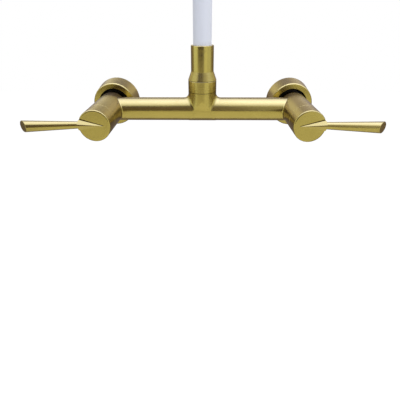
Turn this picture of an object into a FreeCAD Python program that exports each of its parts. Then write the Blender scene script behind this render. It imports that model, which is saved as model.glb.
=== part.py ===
import FreeCAD, Part
import math
import os
import re

import Sketcher

# Wall-mounted pre-rinse faucet, in millimetres.
# World: X to the right, Y into the wall, Z up; the wall is the plane y = 0,
# and the origin is midway between the two wall inlets.
# Valve-side pieces are drawn along their own Z, which points out of the wall.

Vector = FreeCAD.Vector
document = FreeCAD.newDocument("PreRinseFaucet")

sizes = {
    # wall inlets, eccentric unions and flanges
    "inlet_spacing": 203.2,
    "union_offset": 4.0,
    "wall_thread_radius": 10.48,
    "wall_thread_length": 14.0,
    "wall_bore_radius": 7.5,
    "union_shoulder_radius": 14.5,
    "union_shoulder_depth": 3.0,
    "union_thread_radius": 13.22,
    "union_thread_length": 6.5,
    "union_bore_radius": 9.6,
    "washer_thickness": 2.0,
    "washer_inner_radius": 9.2,
    "nut_flats": 30.0,
    "nut_shoulder": 2.5,
    "nut_chamfer": 1.0,
    "flange_base_radius": 25.5,
    "flange_front_radius": 23.4,
    "flange_depth": 24.0,
    "flange_hole_radius": 17.6,
    "flange_wall": 1.8,
    "flange_rim": 0.9,
    "thread_gap": 0.04,
    "seat_gap": 0.1,
    # valve bodies
    "bridge_out": 44.0,
    "valve_reach": 65.5,
    "valve_tail": 13.5,
    "valve_radius": 15.3,
    "valve_rear_round": 2.0,
    "valve_front_chamfer": 0.1,
    "neck_radius": 12.0,
    "neck_collar_radius": 12.9,
    "neck_collar_length": 1.5,
    "inlet_bore_radius": 8.0,
    "seat_back": 6.0,
    "chamber_radius": 10.3,
    "chamber_length": 28.0,
    "cartridge_thread_radius": 10.45,
    "recess_radius": 13.2,
    "recess_depth": 6.7,
    "port_radius": 5.5,
    "port_mouth_radius": 10.8,
    "boss_reach": 5.0,
    "boss_fillet": 1.4,
    # ceramic cartridges
    "seal_height": 3.0,
    "seal_inner_radius": 5.5,
    "seal_outer_radius": 8.6,
    "disc_radius": 7.5,
    "disc_thickness": 3.0,
    "disc_port_radius": 2.25,
    "disc_port_offset": 3.75,
    "nose_radius": 8.9,
    "window_width": 7.0,
    "window_height": 5.0,
    "foot_height": 2.0,
    "cage_height": 14.0,
    "cage_taper": 3.0,
    "hex_flats": 22.0,
    "hex_height": 5.0,
    "cartridge_neck_radius": 7.0,
    "cartridge_neck_height": 4.0,
    "stem_radius": 4.4,
    "stem_flats": 7.0,
    "clip_groove_radius": 3.3,
    "clip_outer_radius": 6.2,
    "clip_thickness": 1.0,
    "clip_mouth": 4.6,
    "stem_ring_back": 9.0,
    "ring_section": 1.1,
    "ring_squeeze": 0.02,
    # handles
    "hub_length": 20.0,
    "handle_gap": 0.3,
    "hub_edge_round": 1.5,
    "hub_cavity_radius": 12.6,
    "hub_cavity_depth": 7.0,
    "socket_flats": 7.1,
    "socket_depth": 7.6,
    "lever_reach": 72.5,
    "lever_setback": 5.4,
    "lever_tilt": 5.7,
    "root_start": 8.9,
    "root_core_radius": 2.9,
    "root_end": 16.4,
    "root_half_height": 5.5,
    "root_rise": 1.05,
    "root_proud": 3.8,
    "root_crest": 1.9,
    "root_ridge": 1.3,
    "root_lean": 0.5,
    "root_stand": 0.2,
    "rod_seat": 1.5,
    "rod_radius": 3.45,
    "rod_start": 17.2,
    "tip_radius": 5.75,
    "tip_cut": 40.0,
    "tip_round": 0.5,
    "grub_radius": 2.45,
    "grub_setback": 9.2,
    "grub_recess": 3.3,
    "grub_key_flats": 2.5,
    "grub_key_depth": 3.0,
    # bridge
    "bridge_radius": 12.2,
    "bridge_bore_radius": 9.6,
    "spigot_length": 4.0,
    "spigot_wall": 1.16,
    "tee_radius": 14.9,
    "tee_height": 18.8,
    "tee_flare_height": 11.0,
    "tee_proud": 0.2,
    "tee_fillet": 5.0,
    "tee_bore_radius": 11.0,
    "tee_thread_radius": 13.0,
    "tee_thread_length": 6.2,
    # swivel collar and riser socket
    "collar_height": 11.9,
    "collar_edge": 0.35,
    "seam": 0.15,
    "collar_cavity_radius": 13.5,
    "lip_radius": 11.1,
    "lip_height": 2.2,
    "swivel_washer_height": 1.0,
    "snap_ring_height": 1.1,
    "snap_ring_inner_radius": 9.9,
    "snap_ring_outer_radius": 12.8,
    "snap_ring_slot": 6.0,
    "swivel_radius": 10.9,
    "swivel_bottom": 10.0,
    "swivel_bore_radius": 6.5,
    "swivel_ring_low": 13.2,
    "swivel_ring_high": 18.2,
    "swivel_ring_section": 1.9,
    "swivel_ring_width": 2.47,
    "taper_height": 8.9,
    "socket_radius": 11.8,
    "socket_height": 25.2,
    "socket_rim": 0.35,
    "sleeve_seat": 46.0,
    "core_seat": 40.0,
    "water_seat": 34.0,
    "socket_screw_radius": 1.95,
    "socket_screw_flats": 2.0,
    "socket_screw_recess": 0.4,
    # hose: white sleeve, steel core and water tube
    "sleeve_radius": 9.4,
    "sleeve_wall": 2.4,
    "core_wall": 1.9,
    "water_tube_radius": 4.5,
    "water_tube_wall": 1.2,
    "hose_gap": 0.05,
    "arch_start": 275.0,
    "arch_radius": 88.0,
    "hose_drop": 13.0,
    # hose end fitting and spray head
    "fitting_grip": 8.0,
    "fitting_core_depth": 6.0,
    "fitting_length": 24.0,
    "spray_spigot_radius": 8.0,
    "spray_spigot_length": 15.0,
    "spray_ring_low": 9.0,
    "spray_ring_high": 6.6,
    "spray_ring_depth": 1.5,
    "spray_swivel_gap": 0.08,
    "spray_length": 96.0,
    "grip_radius": 12.2,
    "grip_low": 34.0,
    "bell_radius": 19.0,
    "shoulder_round": 2.4,
    "bell_low": 6.0,
    "bell_mid": 15.0,
    "bell_bore_radius": 15.6,
    "bell_roof": 13.0,
    "plate_radius": 15.5,
    "plate_low": 2.5,
    "plate_thickness": 2.0,
    "jet_radius": 0.9,
    "bumper_radius": 22.0,
    "bumper_height": 9.0,
    "lower_passage_radius": 4.5,
    "upper_passage_radius": 4.5,
    "valve_height": 46.0,
    "plunger_bore_radius": 5.5,
    "plunger_bore_back": 8.0,
    "plunger_radius": 3.0,
    "plunger_head_radius": 4.4,
    "plunger_head_length": 3.0,
    "plunger_guide_gap": 0.08,
    "boss_stand": 2.0,
    "plunger_back": 1.0,
    "plunger_front": 21.9,
    "cap_radius": 7.2,
    "cap_length": 3.0,
    "cap_plug": 4.0,
    "spring_wire": 0.35,
    "spring_turns": 5,
    "spring_inset": 1.2,
    "pivot_height": 24.0,
    "pivot_front": 22.0,
    "pivot_radius": 1.5,
    "pivot_gap": 0.05,
    "pin_overhang": 0.8,
    "ear_inner": 6.0,
    "ear_thickness": 2.6,
    "ear_radius": 4.2,
    "lever_half_width": 5.7,
    "lever_thickness": 3.4,
    "lever_soft": 1.2,
    "lever_top": 90.0,
    "lever_top_front": 31.0,
    "lever_knee": 36.0,
    "lever_knee_front": 21.4,
}

sheet = document.addObject("Spreadsheet::Sheet", "Sizes")
for row, (word, amount) in enumerate(sizes.items(), 1):
    sheet.set(f"A{row}", word)
    sheet.set(f"B{row}", str(amount))
    sheet.setAlias(f"B{row}", word)
document.recompute()


def value(word):
    return float(getattr(sheet, word))


def bound(text):
    # puts the sheet's name before each size in an expression
    def named(found):
        word = found.group()
        return f"Sizes.{word}" if word in sizes else word

    return re.sub(r"[a-z_]+", named, text)


# Places that more than one piece uses, measured out of the wall
wall = "0"
unionFront = "(union_shoulder_depth + union_thread_length)"
neckEnd = f"({unionFront} + washer_thickness)"
valveRear = "(bridge_out - valve_tail)"
seat = "(bridge_out - seat_back)"
discBase = f"({seat} + seal_height)"
footBase = f"({discBase} + 2 * disc_thickness)"
cageTop = f"({footBase} + cage_height)"
chamberEnd = f"({seat} + chamber_length)"
hubFace = "(bridge_out + valve_reach)"
hubRear = f"({hubFace} - hub_length)"
valveFront = f"({hubRear} - handle_gap)"
recessFloor = f"({valveFront} - recess_depth)"
hexTop = f"({recessFloor} + hex_height)"
cartridgeTop = f"({hexTop} + cartridge_neck_height)"
stemTop = f"({hubRear} + hub_cavity_depth + socket_depth - handle_gap)"
stemRing = f"({cartridgeTop} - stem_ring_back)"
# Places above the bridge's axis
collarTop = "(tee_height + collar_height)"
taperTop = f"({collarTop} + taper_height)"
socketTop = f"({taperTop} + socket_height)"
lipFloor = f"({collarTop} - lip_height)"
snapTop = f"({lipFloor} - swivel_washer_height - seam / 2)"
snapFloor = f"({snapTop} - snap_ring_height)"
# The steel core's radius, and the spray head's lowest edge above the bridge's axis
coreRadius = "(sleeve_radius - sleeve_wall - hose_gap)"
hoseEnd = "(arch_start - hose_drop)"
sprayBottom = f"({hoseEnd} + fitting_grip - fitting_length - spray_length)"


looseStart = 10  # corners stand here until they are bound


def originPlane(body, role):
    return next(plane for plane in body.Origin.OriginFeatures if plane.Role == role)


def drawn(sketch, points):
    # a closed outline whose corners are bound to the sheet by pairs of expressions
    count = len(points)
    step = 2 * math.pi / count
    start = [Vector(looseStart + math.cos(step * k), math.sin(step * k), 0) for k in range(count)]
    for k in range(count):
        sketch.addGeometry(Part.LineSegment(start[k], start[(k + 1) % count]), False)
    for k in range(count):
        sketch.addConstraint(Sketcher.Constraint("Coincident", k, 2, (k + 1) % count, 1))
    for k, (across, along) in enumerate(points):
        level = sketch.addConstraint(Sketcher.Constraint("DistanceX", -1, 1, k, 1, start[k].x))
        sketch.setExpression(f"Constraints[{level}]", bound(across))
        level = sketch.addConstraint(Sketcher.Constraint("DistanceY", -1, 1, k, 1, start[k].y))
        sketch.setExpression(f"Constraints[{level}]", bound(along))
    return sketch


def outline(body, role, points, name):
    sketch = body.newObject("Sketcher::SketchObject", name)
    sketch.AttachmentSupport = [(originPlane(body, role), "")]
    sketch.MapMode = "FlatFace"
    return drawn(sketch, points)


def profile(name, points):
    return drawn(document.addObject("Sketcher::SketchObject", name), points)


def newBody(name):
    return document.addObject("PartDesign::Body", name)


def turn(body, points, name="Turning", cut=False):
    # revolves an outline of (radius, height) corners about the body's own Z axis
    sketch = outline(body, "XZ_Plane", points, f"{name}Outline")
    feature = body.newObject("PartDesign::Groove" if cut else "PartDesign::Revolution", name)
    feature.Profile = sketch
    feature.ReferenceAxis = (sketch, ["V_Axis"])
    feature.Angle = 360
    body.Tip = feature
    return feature


def turned(name, points):
    body = newBody(name)
    turn(body, points)
    return body


def ring(name, inner, outer, low, high):
    return turned(name, [(inner, low), (outer, low), (outer, high), (inner, high)])


def cylinder(name, radius, height):
    solid = document.addObject("Part::Cylinder", name)
    solid.setExpression("Radius", bound(radius))
    solid.setExpression("Height", bound(height))
    return solid


def box(name, length, width, height):
    solid = document.addObject("Part::Box", name)
    for side, amount in (("Length", length), ("Width", width), ("Height", height)):
        solid.setExpression(side, bound(amount))
    return solid


def hexagon(name, flats, height):
    solid = document.addObject("Part::Prism", name)
    solid.Polygon = 6
    solid.setExpression("Circumradius", bound(f"{flats} / sqrt(3)"))
    solid.setExpression("Height", bound(height))
    return solid


def place(solid, x="0", y="0", z="0", turnAxis=None, angle=0):
    # moves a solid to a place bound to the sheet, turned about its own corner
    if turnAxis:
        solid.Placement = FreeCAD.Placement(Vector(), FreeCAD.Rotation(Vector(*turnAxis), angle))
    for axis, amount in (("x", x), ("y", y), ("z", z)):
        if amount != "0":
            solid.setExpression(f"Placement.Base.{axis}", bound(amount))
    return solid


def cut(name, base, *tools):
    for number, tool in enumerate(tools, 1):
        result = document.addObject("Part::Cut", name if number == len(tools) else f"{name}Cut{number}")
        result.Base = base
        result.Tool = tool
        base = result
    return base


def joined(name, *solids):
    result = document.addObject("Part::MultiFuse", name)
    result.Shapes = list(solids)
    result.Refine = True
    return result


def rounded(name, base, radius, wanted):
    # rounds the edges of a finished shape that a test picks out
    document.recompute()
    size = value(radius)
    edges = [number for number, edge in enumerate(base.Shape.Edges, 1) if wanted(edge)]
    result = document.addObject("Part::Fillet", name)
    result.Base = base
    result.Edges = [(number, size, size) for number in edges]
    return result


def along(edge, test):
    # true when a test holds at five points spread along an edge
    first, last = edge.FirstParameter, edge.LastParameter
    return all(test(edge.valueAt(first + (last - first) * step / 4)) for step in range(5))


nodes = []


def finished(name, solid):
    solid.Label = name
    nodes.append(solid)
    return solid


def onWall(solid, side):
    # sets a valve-side piece upright on the wall, its own Z pointing out of it
    return place(solid, f"{side} * inlet_spacing / 2", "0", "union_offset", (1, 0, 0), 90)


def onBridge(solid):
    return place(solid, "0", "-bridge_out", "union_offset")


def onSpray(solid):
    return place(solid, "0", "-(bridge_out + 2 * arch_radius)", f"union_offset + {sprayBottom}")


def wallFlange(label, side):
    flange = turned(label, [
        ("union_shoulder_radius + seat_gap", wall),
        ("flange_base_radius", wall),
        ("flange_front_radius", "flange_depth - flange_rim"),
        ("flange_front_radius - flange_rim", "flange_depth"),
        ("flange_hole_radius", "flange_depth"),
        ("flange_hole_radius", "flange_depth - flange_wall"),
        ("flange_front_radius - flange_wall", "flange_depth - flange_wall"),
        ("flange_base_radius - flange_wall", "union_shoulder_depth"),
        ("union_shoulder_radius + seat_gap", "union_shoulder_depth"),
    ])
    return finished(f"{label}_wall_flange", onWall(flange, side))


def inletUnion(label, side):
    spigot = place(
        cylinder(f"{label}Spigot", "wall_thread_radius", "wall_thread_length + union_shoulder_depth"),
        "0", "-union_offset", "-wall_thread_length",
    )
    shoulder = cylinder(f"{label}Shoulder", "union_shoulder_radius", "union_shoulder_depth")
    thread = cylinder(f"{label}Thread", "union_thread_radius", unionFront)
    solid = joined(f"{label}UnionSolid", spigot, shoulder, thread)
    rearBore = place(
        cylinder(f"{label}RearBore", "wall_bore_radius", "wall_thread_length + union_shoulder_depth"),
        "0", "-union_offset", "-wall_thread_length",
    )
    frontBore = place(
        cylinder(f"{label}FrontBore", "union_bore_radius", "union_thread_length + union_shoulder_depth / 2"),
        "0", "0", "union_shoulder_depth / 2",
    )
    union = cut(f"{label}_inlet_union", solid, rearBore, frontBore)
    return finished(f"{label}_inlet_union", onWall(union, side))


def unionNut(label, side):
    rear = "(union_shoulder_depth + seat_gap)"
    shoulder = f"({neckEnd} + neck_collar_length)"
    front = f"({shoulder} + nut_shoulder)"
    blank = place(hexagon(f"{label}NutBlank", "nut_flats", f"{front} - {rear}"), "0", "0", rear)
    bores = turned(f"{label}NutBores", [
        ("0", f"{rear} - 1"),
        ("union_thread_radius + thread_gap", f"{rear} - 1"),
        ("union_thread_radius + thread_gap", shoulder),
        ("neck_radius + seat_gap", shoulder),
        ("neck_radius + seat_gap", f"{front} + 1"),
        ("0", f"{front} + 1"),
    ])
    corners = turned(f"{label}NutCorners", [
        ("nut_flats / 2", f"{front} + 1"),
        ("nut_flats / 2", front),
        ("nut_flats / sqrt(3) + nut_chamfer", f"{front} - nut_chamfer - nut_flats / sqrt(3) + nut_flats / 2"),
        ("nut_flats / sqrt(3) + nut_chamfer", f"{front} + 1"),
    ])
    nut = cut(f"{label}_union_nut", blank, bores, corners)
    return finished(f"{label}_union_nut", onWall(nut, side))


def unionWasher(label, side):
    washer = ring(f"{label}_union_washer", "washer_inner_radius", "neck_collar_radius", unionFront, neckEnd)
    return finished(f"{label}_union_washer", onWall(washer, side))


def valveBody(label, side):
    outer = turned(f"{label}ValveOuter", [
        ("0", neckEnd),
        ("neck_collar_radius", neckEnd),
        ("neck_collar_radius", f"{neckEnd} + neck_collar_length"),
        ("neck_radius", f"{neckEnd} + neck_collar_length"),
        ("neck_radius", valveRear),
        ("valve_radius", valveRear),
        ("valve_radius", f"{valveFront} - valve_front_chamfer"),
        ("valve_radius - valve_front_chamfer", valveFront),
        ("0", valveFront),
    ])
    rearRound = rounded(
        f"{label}ValveRear", outer, "valve_rear_round",
        lambda edge: edge.Curve.TypeId == "Part::GeomCircle"
        and abs(edge.Curve.Radius - value("valve_radius")) < 0.01
        and edge.CenterOfMass.z < value("bridge_out"),
    )
    boss = place(
        cylinder(f"{label}ValveBoss", "bridge_radius", "valve_radius + boss_reach"),
        "0", "0", "bridge_out", (0, 1, 0), -90 * side,
    )
    solid = joined(f"{label}ValveSolid", rearRound, boss)
    radius = value("valve_radius")
    bossRadius = value("bridge_radius")
    out = value("bridge_out")
    filleted = rounded(
        f"{label}ValveFillet", solid, "boss_fillet",
        lambda edge: along(edge, lambda p: abs(math.hypot(p.x, p.y) - radius) < 0.01)
        and along(edge, lambda p: abs(math.hypot(p.y, p.z - out) - bossRadius) < 0.01),
    )
    bores = turned(f"{label}ValveBores", [
        ("0", f"{neckEnd} - 1"),
        ("inlet_bore_radius", f"{neckEnd} - 1"),
        ("inlet_bore_radius", seat),
        ("chamber_radius", seat),
        ("chamber_radius", chamberEnd),
        ("cartridge_thread_radius + thread_gap", chamberEnd),
        ("cartridge_thread_radius + thread_gap", recessFloor),
        ("recess_radius", recessFloor),
        ("recess_radius", f"{valveFront} + 1"),
        ("0", f"{valveFront} + 1"),
    ])
    port = place(
        cylinder(f"{label}Port", "port_radius", "valve_radius + boss_reach + 1"),
        "0", "0", "bridge_out", (0, 1, 0), -90 * side,
    )
    mouth = place(
        cylinder(f"{label}PortMouth", "port_mouth_radius", "spigot_length + 1"),
        f"{-side} * (valve_radius + boss_reach - spigot_length)", "0", "bridge_out", (0, 1, 0), -90 * side,
    )
    body = cut(f"{label}_valve_body", filleted, bores, port, mouth)
    return finished(f"{label}_valve_body", onWall(body, side))


def cartridgeHousing(label, side):
    solid = turned(f"{label}HousingTurned", [
        ("disc_radius + seat_gap", discBase),
        ("nose_radius", discBase),
        ("nose_radius", cageTop),
        ("cartridge_thread_radius", chamberEnd),
        ("cartridge_thread_radius", recessFloor),
        ("cartridge_neck_radius", recessFloor),
        ("cartridge_neck_radius", cartridgeTop),
        ("stem_radius + seat_gap", cartridgeTop),
        ("stem_radius + seat_gap", f"{stemRing} + ring_section * 2"),
        ("stem_radius + ring_section", f"{stemRing} + ring_section * 2"),
        ("stem_radius + ring_section", stemRing),
        ("stem_radius + seat_gap", stemRing),
        ("stem_radius + seat_gap", cageTop),
        ("disc_radius + seat_gap", f"{cageTop} - cage_taper"),
    ])
    collar = place(hexagon(f"{label}HousingHex", "hex_flats", "hex_height"), "0", "0", recessFloor)
    drilled = cut(
        f"{label}HousingCollar", collar,
        place(cylinder(f"{label}HousingBore", "stem_radius + seat_gap", "hex_height"), "0", "0", recessFloor),
    )
    ringBore = place(
        cylinder(f"{label}HousingRing", "stem_radius + ring_section", "ring_section * 2"), "0", "0", stemRing
    )
    whole = joined(f"{label}HousingSolid", solid, drilled)
    window = place(
        box(f"{label}HousingWindow", "4 * nose_radius", "window_width", "window_height"),
        "-2 * nose_radius", "-window_width / 2", f"{footBase} + foot_height",
    )
    housing = cut(f"{label}_cartridge_housing", whole, window, ringBore)
    return finished(f"{label}_cartridge_housing", onWall(housing, side))


def cartridgeStem(label, side):
    # the foot that turns the moving disc, the shaft, the clip's groove and the six-sided top
    splineFoot = f"({cartridgeTop} + clip_thickness + seat_gap)"
    shaft = turned(f"{label}StemShaft", [
        ("0", footBase),
        ("disc_radius - seat_gap", footBase),
        ("disc_radius - seat_gap", f"{footBase} + foot_height"),
        ("stem_radius", f"{footBase} + foot_height"),
        ("stem_radius", cartridgeTop),
        ("clip_groove_radius", cartridgeTop),
        ("clip_groove_radius", splineFoot),
        ("0", splineFoot),
    ])
    spline = place(
        hexagon(f"{label}StemSpline", "stem_flats", f"{stemTop} - {splineFoot}"), "0", "0", splineFoot
    )
    stem = joined(f"{label}_cartridge_stem", shaft, spline)
    return finished(f"{label}_cartridge_stem", onWall(stem, side))


def stemClip(label, side):
    band = ring(
        f"{label}ClipBand", "clip_groove_radius + ring_squeeze", "clip_outer_radius",
        f"{cartridgeTop} + seat_gap / 2", f"{cartridgeTop} + seat_gap / 2 + clip_thickness",
    )
    mouth = place(
        box(f"{label}ClipMouth", "2 * clip_outer_radius", "clip_mouth", "clip_thickness * 3"),
        "0", "-clip_mouth / 2", f"{cartridgeTop} - clip_thickness",
    )
    clip = cut(f"{label}_stem_clip", band, mouth)
    return finished(f"{label}_stem_clip", onWall(clip, side))


def stemSeal(label, side):
    seal = ring(
        f"{label}_stem_seal", "stem_radius + ring_squeeze", "stem_radius + ring_section - ring_squeeze",
        f"{stemRing} + seat_gap / 2", f"{stemRing} + ring_section * 2 - seat_gap / 2",
    )
    return finished(f"{label}_stem_seal", onWall(seal, side))


def ceramicDisc(name, label, side, low, across, upward):
    # two opposite round ports: the fixed disc's stand a quarter turn from the moving disc's
    blank = cylinder(f"{label}{name}Blank", "disc_radius - seat_gap / 2", "disc_thickness")
    place(blank, "0", "0", low)
    ports = []
    for number, sign in enumerate((-1, 1)):
        ports.append(place(
            cylinder(f"{label}{name}Port{number}", "disc_port_radius", "disc_thickness * 2"),
            f"{sign * across} * disc_port_offset",
            f"{sign * upward} * disc_port_offset",
            f"{low} - disc_thickness / 2",
        ))
    disc = cut(f"{label}_{name}", blank, *ports)
    return finished(f"{label}_{name}", onWall(disc, side))


def cartridgeSeal(label, side):
    seal = ring(f"{label}_cartridge_seal", "seal_inner_radius", "seal_outer_radius", seat, discBase)
    return finished(f"{label}_cartridge_seal", onWall(seal, side))


def leverPlacement(side):
    tilt = math.radians(value("lever_tilt"))
    outward = Vector(side * math.cos(tilt), -math.sin(tilt), 0)
    front = Vector(-side * math.sin(tilt), -math.cos(tilt), 0)
    turning = FreeCAD.Rotation(front, outward.cross(front), outward, "ZXY")
    return FreeCAD.Placement(Vector(), turning)


def handleLever(label, side):
    # drawn along its own Z, which points to the tip, with its own X to the front
    rod = turned(f"{label}Rod", [
        ("0", "root_start"),
        ("root_core_radius", "root_start"),
        ("root_core_radius", "valve_radius - rod_seat"),
        ("rod_radius", "valve_radius - rod_seat"),
        ("rod_radius", "rod_start"),
        ("tip_radius", "lever_reach"),
        ("0", "lever_reach"),
    ])
    # the root is a pointed wedge that stands out of the hub's face, widest at the hub's rim, with
    # a narrow facet along its crest between the upper side and the lower one
    apex = document.addObject("Part::Vertex", f"{label}RootApex")
    apex.setExpression("X", bound("lever_setback * cos(lever_tilt) + root_start * sin(lever_tilt)"))
    apex.setExpression("Z", bound("lever_setback * sin(lever_tilt) - root_start * cos(lever_tilt)"))
    face = "(lever_setback - root_end * sin(lever_tilt)) / cos(lever_tilt)"
    end = profile(f"{label}RootEnd", [
        ("0", "0"),
        (face, f"{-side} * (root_rise - root_half_height)"),
        (f"{face} + root_proud", f"{-side} * (root_crest - root_ridge / 2)"),
        (f"{face} + root_proud - root_lean", f"{-side} * (root_crest + root_ridge / 2)"),
        (face, f"{-side} * (root_rise + root_half_height)"),
    ])
    place(end, "0", "0", "root_end")
    wedge = document.addObject("Part::Loft", f"{label}Wedge")
    wedge.Sections = [apex, end]
    wedge.Solid = True
    wedge.Ruled = True
    drum = cylinder(f"{label}WedgeDrum", "valve_radius + root_stand", "3 * valve_radius")
    place(
        drum, "-valve_radius * cos(lever_tilt)", "0", "-valve_radius * sin(lever_tilt)",
        (0, 1, 0), 90 - value("lever_tilt"),
    )
    root = document.addObject("Part::Common", f"{label}Root")
    root.Base = wedge
    root.Tool = drum
    whole = joined(f"{label}LeverSolid", rod, root)
    knife = box(f"{label}TipKnife", "8 * tip_radius", "4 * tip_radius", "4 * tip_radius")
    place(
        knife, "tip_radius - 8 * tip_radius * cos(tip_cut)", "-2 * tip_radius",
        "lever_reach - 2 * tip_radius * tan(tip_cut) + 8 * tip_radius * sin(tip_cut)",
        (0, 1, 0), value("tip_cut"),
    )
    trimmed = cut(f"{label}LeverTrimmed", whole, knife)
    slant = math.radians(value("tip_cut"))
    normal = Vector(math.sin(slant), 0, math.cos(slant))
    wide = value("tip_radius")
    corner = Vector(wide, 0, value("lever_reach") - 2 * wide * math.tan(slant))
    lever = rounded(
        f"{label}_handle_lever", trimmed, "tip_round",
        lambda edge: along(edge, lambda p: abs((p - corner).dot(normal)) < 0.02),
    )
    lever.Placement = leverPlacement(side)
    lever.setExpression("Placement.Base.x", bound(f"{side} * inlet_spacing / 2"))
    lever.setExpression("Placement.Base.y", bound(f"lever_setback - {hubFace}"))
    lever.setExpression("Placement.Base.z", bound("union_offset"))
    return finished(f"{label}_handle_lever", lever)


def handleHub(label, side, lever):
    cavityRoof = f"({hubRear} + hub_cavity_depth)"
    shell = turned(f"{label}HubShell", [
        ("hub_cavity_radius", hubRear),
        ("valve_radius - valve_front_chamfer", hubRear),
        ("valve_radius", f"{hubRear} + valve_front_chamfer"),
        ("valve_radius", hubFace),
        ("0", hubFace),
        ("0", cavityRoof),
        ("hub_cavity_radius", cavityRoof),
    ])
    face = value("bridge_out") + value("valve_reach")
    edged = rounded(
        f"{label}HubEdge", shell, "hub_edge_round",
        lambda edge: edge.Curve.TypeId == "Part::GeomCircle" and abs(edge.CenterOfMass.z - face) < 0.01,
    )
    keyway = hexagon(f"{label}HubKeyway", "socket_flats", "socket_depth + 1")
    place(keyway, "0", "0", f"{cavityRoof} - 1")
    grubHole = place(
        cylinder(f"{label}HubGrubHole", "grub_radius + thread_gap", "valve_radius + 1"),
        "0", "0", f"{hubFace} - grub_setback", (1, 0, 0), 90,
    )
    blank = onWall(cut(f"{label}HubBlank", edged, keyway, grubHole), side)
    hub = cut(f"{label}_handle_hub", blank, lever)
    return finished(f"{label}_handle_hub", hub)


def handleGrub(label, side):
    grub = place(
        cylinder(f"{label}Grub", "grub_radius", "valve_radius - stem_flats / 2 - grub_recess"),
        "0", "-stem_flats / 2", f"{hubFace} - grub_setback", (1, 0, 0), 90,
    )
    key = place(
        hexagon(f"{label}GrubKey", "grub_key_flats", "grub_key_depth + 1"),
        "0", "-(valve_radius - grub_recess - grub_key_depth)", f"{hubFace} - grub_setback", (1, 0, 0), 90,
    )
    screw = cut(f"{label}_handle_set_screw", grub, key)
    return finished(f"{label}_handle_set_screw", onWall(screw, side))


def teeFlare(low, wide, flare, top):
    # the tee's section across the bridge: the tube's round below, flaring to the tee's width above
    half = 2 * wide
    edges = [Part.Arc(Vector(-half, -low, 0), Vector(-half, 0, -low), Vector(-half, low, 0)).toShape()]
    for sign in (1, -1):
        curve = Part.BezierCurve()
        curve.setPoles([
            Vector(-half, sign * low, 0),
            Vector(-half, sign * low, flare / 2),
            Vector(-half, sign * wide, flare / 2),
            Vector(-half, sign * wide, flare),
        ])
        edges.append(curve.toShape())
        edges.append(Part.makeLine(Vector(-half, sign * wide, flare), Vector(-half, sign * wide, top)))
    edges.append(Part.makeLine(Vector(-half, wide, top), Vector(-half, -wide, top)))
    return Part.Face(Part.Wire(Part.__sortEdges__(edges))).extrude(Vector(2 * half, 0, 0))


def bridgeTube():
    # the tube and its tee are one forging, blended where they meet
    reach = value("inlet_spacing") / 2 - value("valve_radius") - value("boss_reach")
    radius = value("bridge_radius")
    wide = value("tee_radius")
    top = value("tee_height")
    tube = Part.makeCylinder(radius, 2 * reach, Vector(-reach, 0, 0), Vector(1, 0, 0))
    tee = Part.makeCylinder(wide, top + wide, Vector(0, 0, -wide), Vector(0, 0, 1))
    tee = tee.common(teeFlare(radius + value("tee_proud"), wide, value("tee_flare_height"), top))
    solid = tube.fuse(tee).removeSplitter()
    meeting = [
        edge for edge in solid.Edges
        if along(edge, lambda p: abs(math.hypot(p.x, p.y) - wide) < 0.001)
        and along(edge, lambda p: abs(math.hypot(p.y, p.z) - radius) < 0.001)
    ]
    blended = document.addObject("Part::Feature", "BridgeBlended")
    blended.Shape = solid.makeFillet(value("tee_fillet"), meeting)
    halfTube = "(inlet_spacing / 2 - valve_radius - boss_reach)"
    ends = place(
        cylinder("BridgeSpigots", "bridge_bore_radius + spigot_wall", f"2 * ({halfTube} + spigot_length)"),
        f"-({halfTube} + spigot_length)", "0", "0", (0, 1, 0), 90,
    )
    thread = place(
        cylinder("TeeThread", "tee_thread_radius", "tee_thread_length + 4"), "0", "0", "tee_height - 4"
    )
    whole = joined("BridgeWhole", blended, ends, thread)
    bore = place(
        cylinder("BridgeBore", "bridge_bore_radius", f"2 * ({halfTube} + spigot_length)"),
        f"-({halfTube} + spigot_length)", "0", "0", (0, 1, 0), 90,
    )
    riserBore = cylinder("TeeBore", "tee_bore_radius", "tee_height + tee_thread_length")
    bridge = cut("bridge_tube", whole, bore, riserBore)
    return finished("bridge_tube", onBridge(bridge))


def swivelCollar():
    low = "(tee_height + seam)"
    high = f"({collarTop} - seam)"
    threadTop = "(tee_height + tee_thread_length + 0.3)"
    collar = turned("swivel_collar", [
        ("tee_thread_radius + thread_gap", low),
        ("tee_radius - collar_edge", low),
        ("tee_radius", f"{low} + collar_edge"),
        ("tee_radius", f"{high} - collar_edge"),
        ("tee_radius - collar_edge", high),
        ("lip_radius", high),
        ("lip_radius", lipFloor),
        ("collar_cavity_radius", lipFloor),
        ("collar_cavity_radius", threadTop),
        ("tee_thread_radius + thread_gap", threadTop),
    ])
    return finished("swivel_collar", onBridge(collar))


def swivelWasher():
    outer = "(collar_cavity_radius - 2 * seat_gap)"
    washer = ring("swivel_washer", "lip_radius", outer, f"{lipFloor} - swivel_washer_height", lipFloor)
    return finished("swivel_washer", onBridge(washer))


def snapRing():
    inner = "(snap_ring_inner_radius + ring_squeeze)"
    band = ring("SnapBand", inner, "snap_ring_outer_radius", snapFloor, snapTop)
    slot = place(
        box("SnapSlot", "2 * snap_ring_outer_radius", "snap_ring_slot", "4 * snap_ring_height"),
        "0", "-snap_ring_slot / 2", f"{snapFloor} - snap_ring_height",
    )
    clip = cut("snap_ring", band, slot)
    return finished("snap_ring", onBridge(clip))


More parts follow.
